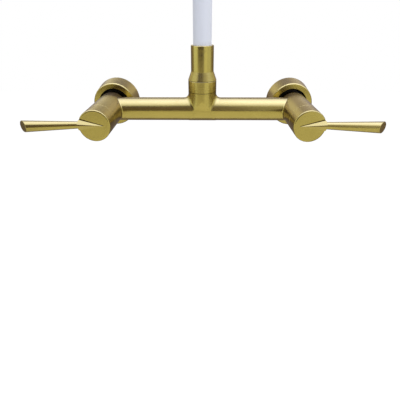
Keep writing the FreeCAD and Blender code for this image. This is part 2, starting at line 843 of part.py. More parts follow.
def riserSocket():
    grooveRadius = "(swivel_radius - swivel_ring_section)"
    grooves = []
    for level in ("swivel_ring_low", "swivel_ring_high"):
        grooves += [
            ("swivel_radius", level),
            (grooveRadius, level),
            (grooveRadius, f"{level} + swivel_ring_width"),
            ("swivel_radius", f"{level} + swivel_ring_width"),
        ]
    socket = turned("SocketTurned", [
        ("swivel_bore_radius", "swivel_bottom"),
        ("swivel_radius", "swivel_bottom"),
        *grooves,
        ("swivel_radius", snapFloor),
        ("snap_ring_inner_radius", snapFloor),
        ("snap_ring_inner_radius", snapTop),
        ("swivel_radius", snapTop),
        ("swivel_radius", collarTop),
        ("tee_radius - collar_edge", collarTop),
        ("tee_radius", f"{collarTop} + collar_edge"),
        ("socket_radius", taperTop),
        ("socket_radius", f"{socketTop} - socket_rim"),
        ("socket_radius - socket_rim", socketTop),
        ("sleeve_radius + hose_gap", socketTop),
        ("sleeve_radius + hose_gap", "sleeve_seat"),
        (f"{coreRadius} + hose_gap", "sleeve_seat"),
        (f"{coreRadius} + hose_gap", "core_seat"),
        ("water_tube_radius + hose_gap", "core_seat"),
        ("water_tube_radius + hose_gap", "water_seat"),
        ("swivel_bore_radius", "water_seat"),
    ])
    hole = place(
        cylinder("SocketScrewHole", "socket_screw_radius + thread_gap", "2 * socket_radius"),
        "0", "0", "(core_seat + sleeve_seat) / 2", (1, 0, 0), -90,
    )
    return finished("riser_socket", onBridge(cut("riser_socket", socket, hole)))


def socketScrew():
    screw = place(
        cylinder("SocketScrew", "socket_screw_radius", f"socket_radius - {coreRadius} - socket_screw_recess"),
        "0", coreRadius, "(core_seat + sleeve_seat) / 2", (1, 0, 0), -90,
    )
    key = place(
        hexagon("SocketScrewKey", "socket_screw_flats", "socket_screw_flats + 1"),
        "0", "socket_radius - socket_screw_recess - socket_screw_flats", "(core_seat + sleeve_seat) / 2",
        (1, 0, 0), -90,
    )
    screw = cut("socket_set_screw", screw, key)
    return finished("socket_set_screw", onBridge(screw))


def swivelRings():
    rings = []
    for number, level in enumerate(("swivel_ring_low", "swivel_ring_high")):
        rings.append(ring(
            f"SwivelRing{number}", "swivel_radius - swivel_ring_section + ring_squeeze",
            "tee_bore_radius - ring_squeeze", f"{level} + seat_gap", f"{level} + swivel_ring_width - seat_gap",
        ))
    seals = document.addObject("Part::Compound", "swivel_o_rings")
    seals.Links = rings
    return finished("swivel_o_rings", onBridge(seals))


def hoseTube(name, outer, inner, low, end):
    # a tube that rises, arches to the front and comes down again
    body = newBody(name)
    route = body.newObject("Sketcher::SketchObject", f"{name}Route")
    route.AttachmentSupport = [(originPlane(body, "YZ_Plane"), "")]
    route.MapMode = "FlatFace"
    bend = value("arch_radius")
    rise = value("arch_start")
    route.addGeometry(Part.LineSegment(Vector(0, rise / 2, 0), Vector(0, rise, 0)), False)
    arch = Part.Circle(Vector(-bend, rise, 0), Vector(0, 0, 1), bend)
    route.addGeometry(Part.ArcOfCircle(arch, 0, math.pi), False)
    route.addGeometry(Part.LineSegment(Vector(-2 * bend, rise, 0), Vector(-2 * bend, rise - 1, 0)), False)
    for first, firstEnd, second, secondEnd in ((0, 2, 1, 1), (1, 2, 2, 1)):
        route.addConstraint(Sketcher.Constraint("Coincident", first, firstEnd, second, secondEnd))
    places = (
        ("DistanceX", 0, 1, "0", 0),
        ("DistanceY", 0, 1, low, rise / 2),
        ("DistanceX", 0, 2, "0", 0),
        ("DistanceY", 0, 2, "arch_start", rise),
        ("DistanceX", 1, 3, "-arch_radius", -bend),
        ("DistanceY", 1, 3, "arch_start", rise),
        ("DistanceY", 1, 2, "arch_start", rise),
        ("DistanceX", 2, 2, "-2 * arch_radius", -2 * bend),
        ("DistanceY", 2, 2, end, rise - 1),
    )
    for kind, piece, point, amount, now in places:
        level = route.addConstraint(Sketcher.Constraint(kind, -1, 1, piece, point, float(now)))
        route.setExpression(f"Constraints[{level}]", bound(amount))
    section = body.newObject("Sketcher::SketchObject", f"{name}Section")
    section.AttachmentSupport = [(originPlane(body, "XY_Plane"), "")]
    section.MapMode = "FlatFace"
    section.AttachmentOffset = FreeCAD.Placement(Vector(0, 0, 1), FreeCAD.Rotation())
    section.setExpression("AttachmentOffset.Base.z", bound(low))
    for number, radius in enumerate((outer, inner)):
        section.addGeometry(Part.Circle(Vector(), Vector(0, 0, 1), 5.0 - number), False)
        section.addConstraint(Sketcher.Constraint("Coincident", number, 3, -1, 1))
        level = section.addConstraint(Sketcher.Constraint("Radius", number, 5.0 - number))
        section.setExpression(f"Constraints[{level}]", bound(radius))
    pipe = body.newObject("PartDesign::AdditivePipe", f"{name}Pipe")
    pipe.Profile = section
    pipe.Spine = route
    body.Tip = pipe
    return finished(name, onBridge(body))


def hoseEndFitting():
    # drawn from the spray head's lowest edge upwards
    rim = "(spray_length + fitting_length)"
    sleeveEnd = f"({rim} - fitting_grip)"
    coreEnd = f"({sleeveEnd} - fitting_core_depth)"
    foot = "(spray_length + seam)"
    fitting = turned("hose_end_fitting", [
        ("lower_passage_radius", "spray_length - spray_spigot_length"),
        ("spray_spigot_radius", "spray_length - spray_spigot_length"),
        ("spray_spigot_radius", "spray_length - spray_ring_low"),
        ("spray_spigot_radius - spray_ring_depth", "spray_length - spray_ring_low"),
        ("spray_spigot_radius - spray_ring_depth", "spray_length - spray_ring_high"),
        ("spray_spigot_radius", "spray_length - spray_ring_high"),
        ("spray_spigot_radius", foot),
        ("socket_radius - collar_edge", foot),
        ("socket_radius", f"{foot} + collar_edge"),
        ("socket_radius", f"{rim} - socket_rim"),
        ("socket_radius - socket_rim", rim),
        ("sleeve_radius + hose_gap", rim),
        ("sleeve_radius + hose_gap", sleeveEnd),
        (f"{coreRadius} + hose_gap", sleeveEnd),
        (f"{coreRadius} + hose_gap", coreEnd),
        ("water_tube_radius + hose_gap", coreEnd),
        ("water_tube_radius + hose_gap", f"{coreEnd} - fitting_core_depth"),
        ("lower_passage_radius", f"{coreEnd} - fitting_core_depth"),
    ])
    return finished("hose_end_fitting", onSpray(fitting))


def fittingRing():
    seal = ring(
        "spray_swivel_o_ring", "spray_spigot_radius - spray_ring_depth + ring_squeeze",
        "spray_spigot_radius + spray_swivel_gap - ring_squeeze",
        "spray_length - spray_ring_low + seat_gap", "spray_length - spray_ring_high - seat_gap",
    )
    return finished("spray_swivel_o_ring", onSpray(seal))


def sprayBody():
    outer = turned("SprayOuter", [
        ("0", "bell_low"),
        ("bell_radius", "bell_low"),
        ("bell_radius", "bell_mid"),
        ("grip_radius", "grip_low"),
        ("grip_radius", "spray_length - 8"),
        ("socket_radius", "spray_length - 4"),
        ("socket_radius", "spray_length - collar_edge"),
        ("socket_radius - collar_edge", "spray_length"),
        ("0", "spray_length"),
    ])
    middle = value("grip_low")
    shoulder = value("bell_mid")
    softened = rounded(
        "SprayShoulder", outer, "shoulder_round",
        lambda edge: edge.Curve.TypeId == "Part::GeomCircle"
        and min(abs(edge.CenterOfMass.z - middle), abs(edge.CenterOfMass.z - shoulder)) < 0.01,
    )
    ears = []
    for number, sign in enumerate((-1, 1)):
        start = "ear_inner" if sign > 0 else "-ear_inner - ear_thickness"
        ear = place(
            cylinder(f"Ear{number}", "ear_radius", "ear_thickness"),
            start, "-pivot_front", "pivot_height", (0, 1, 0), 90,
        )
        web = place(
            box(f"EarWeb{number}", "ear_thickness", "pivot_front - 4", "2 * ear_radius"),
            start, "-pivot_front", "pivot_height - ear_radius",
        )
        ears += [ear, web]
    boss = cylinder("PlungerBoss", "cap_radius", "grip_radius + boss_stand")
    place(boss, "0", "0", "valve_height", (1, 0, 0), 90)
    solid = joined("SpraySolid", softened, boss, *ears)
    passages = turned("SprayPassages", [
        ("0", "0"),
        ("bell_bore_radius", "0"),
        ("bell_bore_radius", "bell_roof"),
        ("lower_passage_radius", "bell_roof"),
        ("lower_passage_radius", "valve_height"),
        ("upper_passage_radius", "valve_height"),
        ("upper_passage_radius", "spray_length - spray_spigot_length - handle_gap"),
        ("spray_spigot_radius + spray_swivel_gap", "spray_length - spray_spigot_length - handle_gap"),
        ("spray_spigot_radius + spray_swivel_gap", "spray_length + 1"),
        ("0", "spray_length + 1"),
    ])
    chamber = place(
        cylinder("PlungerBore", "plunger_bore_radius", "plunger_bore_back + grip_radius + 3"),
        "0", "plunger_bore_back", "valve_height", (1, 0, 0), 90,
    )
    pinHole = place(
        cylinder("PinHole", "pivot_radius", "4 * ear_inner"),
        "-2 * ear_inner", "-pivot_front", "pivot_height", (0, 1, 0), 90,
    )
    spray = cut("spray_body", solid, passages, chamber, pinHole)
    return finished("spray_body", onSpray(spray))


def plungerGland():
    # the screwed bush that closes the plunger's bore and guides its rod
    face = "(grip_radius + boss_stand)"
    head = cylinder("GlandHead", "cap_radius", "cap_length")
    place(head, "0", f"-{face}", "valve_height", (1, 0, 0), 90)
    plug = place(
        cylinder("GlandPlug", "plunger_bore_radius - thread_gap", "cap_plug"),
        "0", f"cap_plug - {face}", "valve_height", (1, 0, 0), 90,
    )
    guide = place(
        cylinder("GlandGuide", "plunger_radius + plunger_guide_gap", "4 * cap_length + cap_plug"),
        "0", f"2 * cap_plug - {face}", "valve_height", (1, 0, 0), 90,
    )
    gland = cut("plunger_gland", joined("GlandSolid", head, plug), guide)
    return finished("plunger_gland", onSpray(gland))


def plunger():
    # the rod that the squeeze lever pushes in, with a head that is grooved for its seal
    rod = place(
        cylinder("PlungerRod", "plunger_radius", "plunger_front - plunger_back"),
        "0", "-plunger_back", "valve_height", (1, 0, 0), 90,
    )
    head = place(
        cylinder("PlungerHead", "plunger_head_radius", "plunger_head_length"),
        "0", "-plunger_back", "valve_height", (1, 0, 0), 90,
    )
    groove = place(
        cylinder("PlungerGroove", "plunger_head_radius + 1", "plunger_head_length / 2"),
        "0", "-plunger_back - plunger_head_length / 4", "valve_height", (1, 0, 0), 90,
    )
    core = place(
        cylinder("PlungerCore", "plunger_head_radius - 1", "plunger_head_length"),
        "0", "-plunger_back", "valve_height", (1, 0, 0), 90,
    )
    waisted = cut("PlungerWaisted", head, groove)
    piece = joined("valve_plunger", rod, waisted, core)
    return finished("valve_plunger", onSpray(piece))


def plungerSeal():
    seal = ring(
        "PlungerSealRing", "plunger_head_radius - 1 + ring_squeeze", "plunger_bore_radius - pivot_gap",
        "seat_gap", "plunger_head_length / 2 - seat_gap",
    )
    place(seal, "0", "-plunger_back - plunger_head_length / 4", "valve_height", (1, 0, 0), 90)
    holder = document.addObject("Part::Compound", "plunger_seal")
    holder.Links = [seal]
    return finished("plunger_seal", onSpray(holder))


def returnSpring():
    # a wire coil between the bore's floor and the plunger's head
    room = value("plunger_bore_back") + value("plunger_back")
    wire = value("spring_wire")
    reach = room - 2 * wire - 2 * value("seat_gap")
    coil = Part.makeHelix(
        reach / value("spring_turns"), reach, value("plunger_head_radius") - value("spring_inset")
    )
    start = coil.Edges[0].valueAt(coil.Edges[0].FirstParameter)
    section = Part.Wire(Part.makeCircle(wire, start, Vector(0, 1, 0)))
    coiled = document.addObject("Part::Feature", "SpringCoil")
    coiled.Shape = Part.Wire(coil.Edges).makePipeShell([section], True, True)
    place(coiled, "0", "plunger_bore_back - spring_wire - seat_gap", "valve_height", (1, 0, 0), 90)
    spring = document.addObject("Part::Compound", "plunger_spring")
    spring.Links = [coiled]
    return finished("plunger_spring", onSpray(spring))


def leverPin():
    pin = place(
        cylinder("PinRod", "pivot_radius - seat_gap / 10", "2 * (ear_inner + ear_thickness + pin_overhang)"),
        "-(ear_inner + ear_thickness + pin_overhang)", "-pivot_front", "pivot_height", (0, 1, 0), 90,
    )
    holder = document.addObject("Part::Compound", "lever_pin")
    holder.Links = [pin]
    return finished("lever_pin", onSpray(holder))


def squeezeLever():
    body = newBody("SqueezeBlank")
    sketch = outline(body, "YZ_Plane", [
        ("-(pivot_front - ear_radius * 0.6)", "pivot_height - ear_radius * 0.7"),
        ("-(pivot_front + ear_radius * 0.8)", "pivot_height - ear_radius * 0.7"),
        ("-(pivot_front + ear_radius * 0.8)", "pivot_height + ear_radius * 0.5"),
        ("-(lever_knee_front + lever_thickness)", "lever_knee"),
        ("-(lever_top_front + lever_thickness * 0.6)", "lever_top"),
        ("-(lever_top_front - lever_thickness * 0.4)", "lever_top"),
        ("-lever_knee_front", "lever_knee + 2"),
        ("-(pivot_front - ear_radius * 0.6)", "pivot_height + ear_radius * 0.9"),
    ], "SqueezeOutline")
    pad = body.newObject("PartDesign::Pad", "SqueezePad")
    pad.Profile = sketch
    pad.setExpression("Length", bound("2 * lever_half_width"))
    pad.Midplane = True
    body.Tip = pad
    softened = rounded(
        "SqueezeSoft", body, "lever_soft",
        lambda edge: edge.BoundBox.XLength < 0.01 and edge.BoundBox.ZMin > value("lever_knee")
        or edge.BoundBox.XLength > 1 and edge.CenterOfMass.z > value("lever_top") - 0.01,
    )
    hole = place(
        cylinder("SqueezeHole", "pivot_radius + pivot_gap", "4 * lever_half_width"),
        "-2 * lever_half_width", "-pivot_front", "pivot_height", (0, 1, 0), 90,
    )
    lever = cut("squeeze_lever", softened, hole)
    return finished("squeeze_lever", onSpray(lever))


def sprayPlate():
    plate = place(cylinder("PlateBlank", "plate_radius", "plate_thickness"), "0", "0", "plate_low")
    holes = []
    for count, share in ((1, 0.0), (6, 0.3), (12, 0.56), (18, 0.82)):
        for number in range(count):
            turning = 2 * math.pi * number / count
            holes.append(place(
                cylinder("Jet", "jet_radius", "3 * plate_thickness"),
                f"{share * math.cos(turning):.6f} * plate_radius",
                f"{share * math.sin(turning):.6f} * plate_radius",
                "plate_low - plate_thickness",
            ))
    jets = document.addObject("Part::MultiFuse", "Jets")
    jets.Shapes = holes
    plate = cut("spray_plate", plate, jets)
    return finished("spray_plate", onSpray(plate))


def bumperRing():
    bumper = turned("bumper_ring", [
        ("plate_radius - 1.5", "0"),
        ("bumper_radius - 2", "0"),
        ("bumper_radius", "2"),
        ("bumper_radius", "bumper_height"),
        ("bumper_radius - 1", "bumper_height + 1"),
        ("bell_radius + pivot_gap", "bumper_height + 1"),
        ("bell_radius + pivot_gap", "bell_low"),
        ("plate_radius + pivot_gap", "bell_low"),
        ("plate_radius + pivot_gap", "plate_low"),
        ("plate_radius - 1.5", "plate_low"),
    ])
    return finished("bumper_ring", onSpray(bumper))


for label, side in (("left", -1), ("right", 1)):
    wallFlange(label, side)
    inletUnion(label, side)
    unionNut(label, side)
    unionWasher(label, side)
    valveBody(label, side)
    cartridgeSeal(label, side)
    ceramicDisc("fixed_disc", label, side, discBase, 0, 1)
    ceramicDisc("moving_disc", label, side, f"({discBase} + disc_thickness)", 1, 0)
    cartridgeHousing(label, side)
    cartridgeStem(label, side)
    stemSeal(label, side)
    stemClip(label, side)
    leverPiece = handleLever(label, side)
    handleHub(label, side, leverPiece)
    handleGrub(label, side)
bridgeTube()
swivelCollar()
swivelWasher()
snapRing()
riserSocket()
socketScrew()
swivelRings()
hoseTube("hose_sleeve", "sleeve_radius", "sleeve_radius - sleeve_wall", "sleeve_seat", hoseEnd)
coreBore = f"{coreRadius} - core_wall"
hoseTube("gooseneck_core", coreRadius, coreBore, "core_seat", f"{hoseEnd} - fitting_core_depth")
waterBore = "water_tube_radius - water_tube_wall"
waterEnd = f"{hoseEnd} - 2 * fitting_core_depth + 1"
hoseTube("water_tube", "water_tube_radius", waterBore, "water_seat + 1", waterEnd)
hoseEndFitting()
fittingRing()
sprayBody()
plungerGland()
plunger()
plungerSeal()
returnSpring()
leverPin()
squeezeLever()
sprayPlate()
bumperRing()
document.recompute()

faults = [item.Name for item in document.Objects if "Invalid" in item.State or "Error" in item.State]
for node in nodes:
    if node.Shape.isNull() or not node.Shape.isValid():
        faults.append(node.Label)
if faults:
    raise SystemExit(f"failed objects: {faults}")

os.makedirs("parts", exist_ok=True)
for node in nodes:
    node.Shape.exportStep(os.path.join("parts", f"{node.Label}.step"))
print(f"{len(nodes)} nodes written")
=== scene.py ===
import math

import bmesh
import bpy
from mathutils import Matrix, Vector


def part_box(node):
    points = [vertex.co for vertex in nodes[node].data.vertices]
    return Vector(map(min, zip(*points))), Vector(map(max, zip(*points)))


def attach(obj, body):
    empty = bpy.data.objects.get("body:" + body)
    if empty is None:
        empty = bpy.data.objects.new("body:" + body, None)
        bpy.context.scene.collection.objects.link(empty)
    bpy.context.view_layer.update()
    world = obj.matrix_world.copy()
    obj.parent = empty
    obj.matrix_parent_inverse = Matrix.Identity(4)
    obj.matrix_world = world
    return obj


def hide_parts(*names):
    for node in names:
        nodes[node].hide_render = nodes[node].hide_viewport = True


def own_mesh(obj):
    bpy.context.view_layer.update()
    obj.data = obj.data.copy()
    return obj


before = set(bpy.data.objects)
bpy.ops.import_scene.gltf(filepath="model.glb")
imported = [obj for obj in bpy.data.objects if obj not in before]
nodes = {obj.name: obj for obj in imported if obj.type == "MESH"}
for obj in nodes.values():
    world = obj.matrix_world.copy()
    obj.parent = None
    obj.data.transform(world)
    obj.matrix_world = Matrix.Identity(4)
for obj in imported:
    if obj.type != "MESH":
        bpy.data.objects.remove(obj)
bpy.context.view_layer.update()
scene = bpy.context.scene
print("frame loaded:", len(nodes), "nodes")


# camera, as it stood in the photograph (metres and degrees)

view = {
    "place": (0.0046, -0.4411, 0.1055),
    "pitch": 28.52,
    "yaw": -1.07,
    "roll": -0.15,
    "lens": 32.49,  # millimetres
}


def makeCamera():
    camera = bpy.data.objects.new("photoCamera", bpy.data.cameras.new("photoCamera"))
    scene.collection.objects.link(camera)
    camera.data.lens = view["lens"]
    camera.data.clip_start = 0.01
    camera.data.clip_end = 50
    heading = Matrix.Rotation(math.radians(-view["yaw"]), 4, "Z")
    tilt = Matrix.Rotation(math.radians(90 - view["pitch"]), 4, "X")
    lean = Matrix.Rotation(math.radians(view["roll"]), 4, "Z")
    camera.matrix_world = Matrix.Translation(view["place"]) @ heading @ tilt @ lean
    scene.camera = camera


makeCamera()
scene.view_settings.view_transform = "Standard"
print("camera set")


# studio: white world and floor, a softbox overhead for the gloss, and cards that only gloss sees

studio = {
    "floorDepth": 0.62,
    "floorSize": 6.0,
    "floorTone": (0.84, 0.84, 0.85),
    "floorLift": 0.47,
    "fillTone": (0.97, 0.98, 1.0),
    "fillStrength": 0.66,
    "softbox": {
        "centre": (0.15, -0.10),
        "level": 1.10,
        "reach": (2.0, 1.08),
        "middleTone": (3.35, 3.70, 8.8),
        "edgeTone": (1.38, 1.52, 2.8),
    },
    "lamps": {
        "keyRight": {
            "place": (0.9, -1.1, 0.75),
            "aim": (0, -0.06, 0.06),
            "size": (0.9, 0.9),
            "power": 4.9,
        },
        "topSoft": {
            "place": (0.0, -0.1, 1.3),
            "aim": (0, -0.06, 0.0),
            "size": (1.6, 1.2),
            "power": 2.5,
        },
    },
    # cards that gloss alone sees: a corner, the way across, the way up, and the tone of each
    "cards": {
        "stripeCard": ((-0.35, -0.95, -0.112), (0.627, 0, 0), (0, 0, 0.112), (0.09, 0.065, 0.045)),
        "stripeEndCard": ((-0.875, -0.95, -0.112), (0.525, 0, 0), (0, 0, 0.112), (0.09, 0.065, 0.045)),
        "frontCard": ((-0.35, -0.95, 0.0), (0.48, 0, 0), (0, 0, 0.45), (0.27, 0.205, 0.20)),
        "frontHighCard": ((-0.35, -0.95, 0.45), (0.48, 0, 0), (0, 0, 0.29), (0.20, 0.16, 0.15)),
        "frontLeftCard": ((-0.875, -0.95, 0.0), (0.525, 0, 0), (0, 0, 0.76), (0.08, 0.06, 0.05)),
        "frontRightCard": ((0.13, -0.95, 0.0), (0.62, 0, 0), (0, 0, 0.66), (0.66, 0.66, 0.88)),
        "frontFarCard": ((0.30, -0.95, -0.17), (0.80, 0, 0), (0, 0, 0.17), (1.50, 1.60, 1.75)),
        "leftSideCard": ((-1.3, 0.0, -0.45), (0.2, -0.95, 0), (0, 0, 1.0), (1.32, 1.46, 1.65)),
        "rightSideCard": ((1.1, -0.95, -0.45), (0.2, 0.95, 0), (0, 0, 1.0), (1.12, 1.18, 1.25)),
        "leftBackCard": ((-1.4, 0.9, -0.22), (0, -0.8, 0), (0, 0, 0.52), (0.48, 0.42, 0.36)),
        "rightBackCard": ((1.4, 0.1, -0.22), (0, 0.8, 0), (0, 0, 0.52), (0.52, 0.46, 0.40)),
        "leftLowCard": ((-1.4, 0.9, -0.60), (0, -0.8, 0), (0, 0, 0.38), (0.22, 0.18, 0.14)),
        "rightLowCard": ((1.4, 0.1, -0.60), (0, 0.8, 0), (0, 0, 0.38), (0.28, 0.22, 0.17)),
        "leftFloorCard": ((-1.2, -0.9, -0.60), (0.85, 0, 0), (0, 0.85, 0), (0.70, 0.70, 0.80)),
        "rightFloorCard": ((0.35, -0.9, -0.60), (0.85, 0, 0), (0, 0.85, 0), (0.72, 0.72, 0.82)),
        "backLowCard": ((1.4, 0.9, -0.60), (-2.8, 0, 0), (0, 0, 0.52), (0.22, 0.18, 0.15)),
        "backCard": ((1.4, 0.9, -0.08), (-2.8, 0, 0), (0, 0, 0.21), (0.45, 0.38, 0.36)),
        "backRightCard": ((1.4, 0.9, 0.13), (-1.4, 0, 0), (0, 0, 0.27), (1.10, 1.03, 0.86)),
        "backLeftCard": ((0.0, 0.9, 0.13), (-1.4, 0, 0), (0, 0, 0.27), (1.36, 1.34, 1.04)),
        "backHighCard": ((1.4, 0.9, 0.40), (-2.8, 0, 0), (0, 0, 0.22), (0.36, 0.32, 0.35)),
        "backTopCard": ((1.4, 0.9, 0.62), (-2.8, 0, 0), (0, 0, 0.42), (0.60, 0.58, 0.90)),
        "underCard": ((-1.4, 0.0, -0.60), (2.8, 0, 0), (0, 0.9, 0), (0.36, 0.32, 0.32)),
    },
}


def socket(group, name, kind, direction, default=None):
    item = group.interface.new_socket(name=name, in_out=direction, socket_type=f"NodeSocket{kind}")
    if default is not None:
        item.default_value = default


def linkAll(tree, pairs):
    for source, target in pairs:
        tree.links.new(source, target)


def mathNode(tree, operation, first, second=None):
    node = tree.nodes.new("ShaderNodeMath")
    node.operation = operation
    for slot, value in ((0, first), (1, second)):
        if value is None:
            continue
        if isinstance(value, (int, float)):
            node.inputs[slot].default_value = value
        else:
            tree.links.new(value, node.inputs[slot])
    return node.outputs[0]


def vectorNode(tree, operation, first, second=None, scale=None):
    node = tree.nodes.new("ShaderNodeVectorMath")
    node.operation = operation
    for slot, value in ((0, first), (1, second)):
        if value is None:
            continue
        if isinstance(value, tuple):
            node.inputs[slot].default_value = value
        else:
            tree.links.new(value, node.inputs[slot])
    if scale is not None:
        tree.links.new(scale, node.inputs["Scale"])
    return node


def blendTones(tree, factor, first, second):
    mix = tree.nodes.new("ShaderNodeMix")
    mix.data_type = "RGBA"
    for label, tone in (("A", first), ("B", second)):
        if isinstance(tone, tuple):
            mix.inputs[label].default_value = (*tone, 1)
        else:
            tree.links.new(tone, mix.inputs[label])
    tree.links.new(factor, mix.inputs["Factor"])
    return mix.outputs["Result"]


def ranged(tree, source, low, high):
    # spreads the middle half of a noise over low to high
    spread = tree.nodes.new("ShaderNodeMapRange")
    spread.inputs["From Min"].default_value = 0.25
    spread.inputs["From Max"].default_value = 0.75
    spread.inputs["To Min"].default_value = low
    spread.inputs["To Max"].default_value = high
    tree.links.new(source, spread.inputs["Value"])
    return spread.outputs["Result"]


def blendValues(tree, factor, first, second):
    mix = tree.nodes.new("ShaderNodeMix")
    linkAll(tree, ((factor, mix.inputs["Factor"]), (first, mix.inputs["A"]), (second, mix.inputs["B"])))
    return mix.outputs["Result"]


def rayShare(tree):
    # one for camera, glossy and transmission rays, nothing for the others
    path = tree.nodes.new("ShaderNodeLightPath")
    seen = mathNode(tree, "MAXIMUM", path.outputs["Is Camera Ray"], path.outputs["Is Glossy Ray"])
    return mathNode(tree, "MAXIMUM", seen, path.outputs["Is Transmission Ray"])


def makeWorld():
    world = bpy.data.worlds.new("whiteStudio")
    scene.world = world
    world.use_nodes = True
    tree = world.node_tree
    tree.nodes.clear()
    output = tree.nodes.new("ShaderNodeOutputWorld")
    mix = tree.nodes.new("ShaderNodeMixShader")
    fill = tree.nodes.new("ShaderNodeBackground")
    fill.inputs["Color"].default_value = (*studio["fillTone"], 1)
    fill.inputs["Strength"].default_value = studio["fillStrength"]
    white = tree.nodes.new("ShaderNodeBackground")
    white.inputs["Color"].default_value = (1, 1, 1, 1)
    linkAll(tree, (
        (rayShare(tree), mix.inputs["Fac"]),
        (fill.outputs[0], mix.inputs[1]),
        (white.outputs[0], mix.inputs[2]),
        (mix.outputs[0], output.inputs["Surface"]),
    ))


around = ((-1, -1), (1, -1), (1, 1), (-1, 1))


def flatPiece(name, corners):
    mesh = bpy.data.meshes.new(name)
    mesh.from_pydata(corners, [], [(0, 1, 2, 3)])
    piece = bpy.data.objects.new(name, mesh)
    scene.collection.objects.link(piece)
    material = bpy.data.materials.new(name)
    material.use_nodes = True
    mesh.materials.append(material)
    material.node_tree.nodes.clear()
    return piece, material.node_tree


def makeFloor():
    # a pale matte floor that takes the shadow, lifted to white for what looks at it directly
    half = studio["floorSize"] / 2
    floor, tree = flatPiece("paleFloor", [(half * a, half * b, -studio["floorDepth"]) for a, b in around])
    output = tree.nodes.new("ShaderNodeOutputMaterial")
    both = tree.nodes.new("ShaderNodeAddShader")
    matte = tree.nodes.new("ShaderNodeBsdfDiffuse")
    matte.inputs["Color"].default_value = (*studio["floorTone"], 1)
    glow = tree.nodes.new("ShaderNodeEmission")
    linkAll(tree, (
        (mathNode(tree, "MULTIPLY", rayShare(tree), studio["floorLift"]), glow.inputs["Strength"]),
        (matte.outputs[0], both.inputs[0]),
        (glow.outputs[0], both.inputs[1]),
        (both.outputs[0], output.inputs["Surface"]),
    ))


def addLamp(name, place, aim, size, power):
    lamp = bpy.data.lights.new(name, "AREA")
    lamp.shape = "RECTANGLE"
    lamp.size, lamp.size_y = size
    lamp.energy = power
    holder = bpy.data.objects.new(name, lamp)
    holder.location = place
    holder.rotation_euler = (Vector(aim) - Vector(place)).to_track_quat("-Z", "Y").to_euler()
    scene.collection.objects.link(holder)
    return holder


def makeLamps():
    for name, values in studio["lamps"].items():
        lamp = addLamp(name, **values)
        lamp.visible_glossy = False
        lamp.visible_camera = False


def onlyGloss(piece):
    piece.visible_camera = False
    piece.visible_diffuse = False
    piece.visible_shadow = False


def makeSoftbox():
    # brightest in the middle and fading to a paler tone at its edges
    box = studio["softbox"]
    cx, cy = box["centre"]
    rx, ry = box["reach"]
    level = box["level"]
    piece, tree = flatPiece("softbox", [(cx + rx * a, cy + ry * b, level) for a, b in around])
    place = tree.nodes.new("ShaderNodeTexCoord")
    offset = vectorNode(tree, "SUBTRACT", place.outputs["Object"], (cx, cy, level))
    shape = vectorNode(tree, "MULTIPLY", offset.outputs[0], (1 / rx, 1 / ry, 0))
    spread = vectorNode(tree, "LENGTH", shape.outputs[0])
    fade = blendTones(tree, spread.outputs["Value"], box["middleTone"], box["edgeTone"])
    glow = tree.nodes.new("ShaderNodeEmission")
    output = tree.nodes.new("ShaderNodeOutputMaterial")
    linkAll(tree, (
        (fade, glow.inputs["Color"]),
        (glow.outputs[0], output.inputs["Surface"]),
    ))
    onlyGloss(piece)


def makeCards():
    for name, card in studio["cards"].items():
        corner, across, up = (Vector(part) for part in card[:3])
        piece, tree = flatPiece(name, [corner, corner + across, corner + across + up, corner + up])
        output = tree.nodes.new("ShaderNodeOutputMaterial")
        glow = tree.nodes.new("ShaderNodeEmission")
        glow.inputs["Color"].default_value = (*card[3], 1)
        tree.links.new(glow.outputs[0], output.inputs["Surface"])
        onlyGloss(piece)


makeWorld()
makeFloor()
makeLamps()
makeSoftbox()
makeCards()
print("studio set")


# shared surface effects

def newGroup(name, inputs, outputs):
    group = bpy.data.node_groups.new(name, "ShaderNodeTree")
    for label, kind, default in inputs:
        socket(group, label, kind, "INPUT", default)
    for label, kind in outputs:
        socket(group, label, kind, "OUTPUT")
    return group, group.nodes.new("NodeGroupInput"), group.nodes.new("NodeGroupOutput")


def aboutAxis(group, given):
    # how far along its axis and how far out from it a point lies
    place = group.nodes.new("ShaderNodeTexCoord")
    offset = vectorNode(group, "SUBTRACT", place.outputs["Object"], given.outputs["Centre"])
    axial = vectorNode(group, "DOT_PRODUCT", offset.outputs[0], given.outputs["Along"])
    foot = vectorNode(group, "SCALE", given.outputs["Along"], scale=axial.outputs["Value"])
    out = vectorNode(group, "SUBTRACT", offset.outputs[0], foot.outputs[0])
    radius = vectorNode(group, "LENGTH", out.outputs[0])
    return axial.outputs["Value"], radius.outputs["Value"]


def makeLatheLines():
    # fine lines that run round an axis, on the sides and on the flat ends alike
    group, given, result = newGroup(
        "latheLines",
        (("Centre", "Vector", (0, 0, 0)), ("Along", "Vector", (0, 0, 1)), ("Pitch", "Float", 0.0004)),
        (("Height", "Float"), ("Mask", "Float")),
    )
    axial, radius = aboutAxis(group, given)
    count = mathNode(group, "DIVIDE", mathNode(group, "ADD", axial, radius), given.outputs["Pitch"])
    for label, size, detail in (("Height", 1.0, 2.0), ("Mask", 0.13, 1.0)):
        noise = group.nodes.new("ShaderNodeTexNoise")
        noise.noise_dimensions = "1D"
        noise.inputs["Scale"].default_value = size
        noise.inputs["Detail"].default_value = detail
        group.links.new(count, noise.inputs["W"])
        group.links.new(noise.outputs["Fac"], result.inputs[label])
    return group


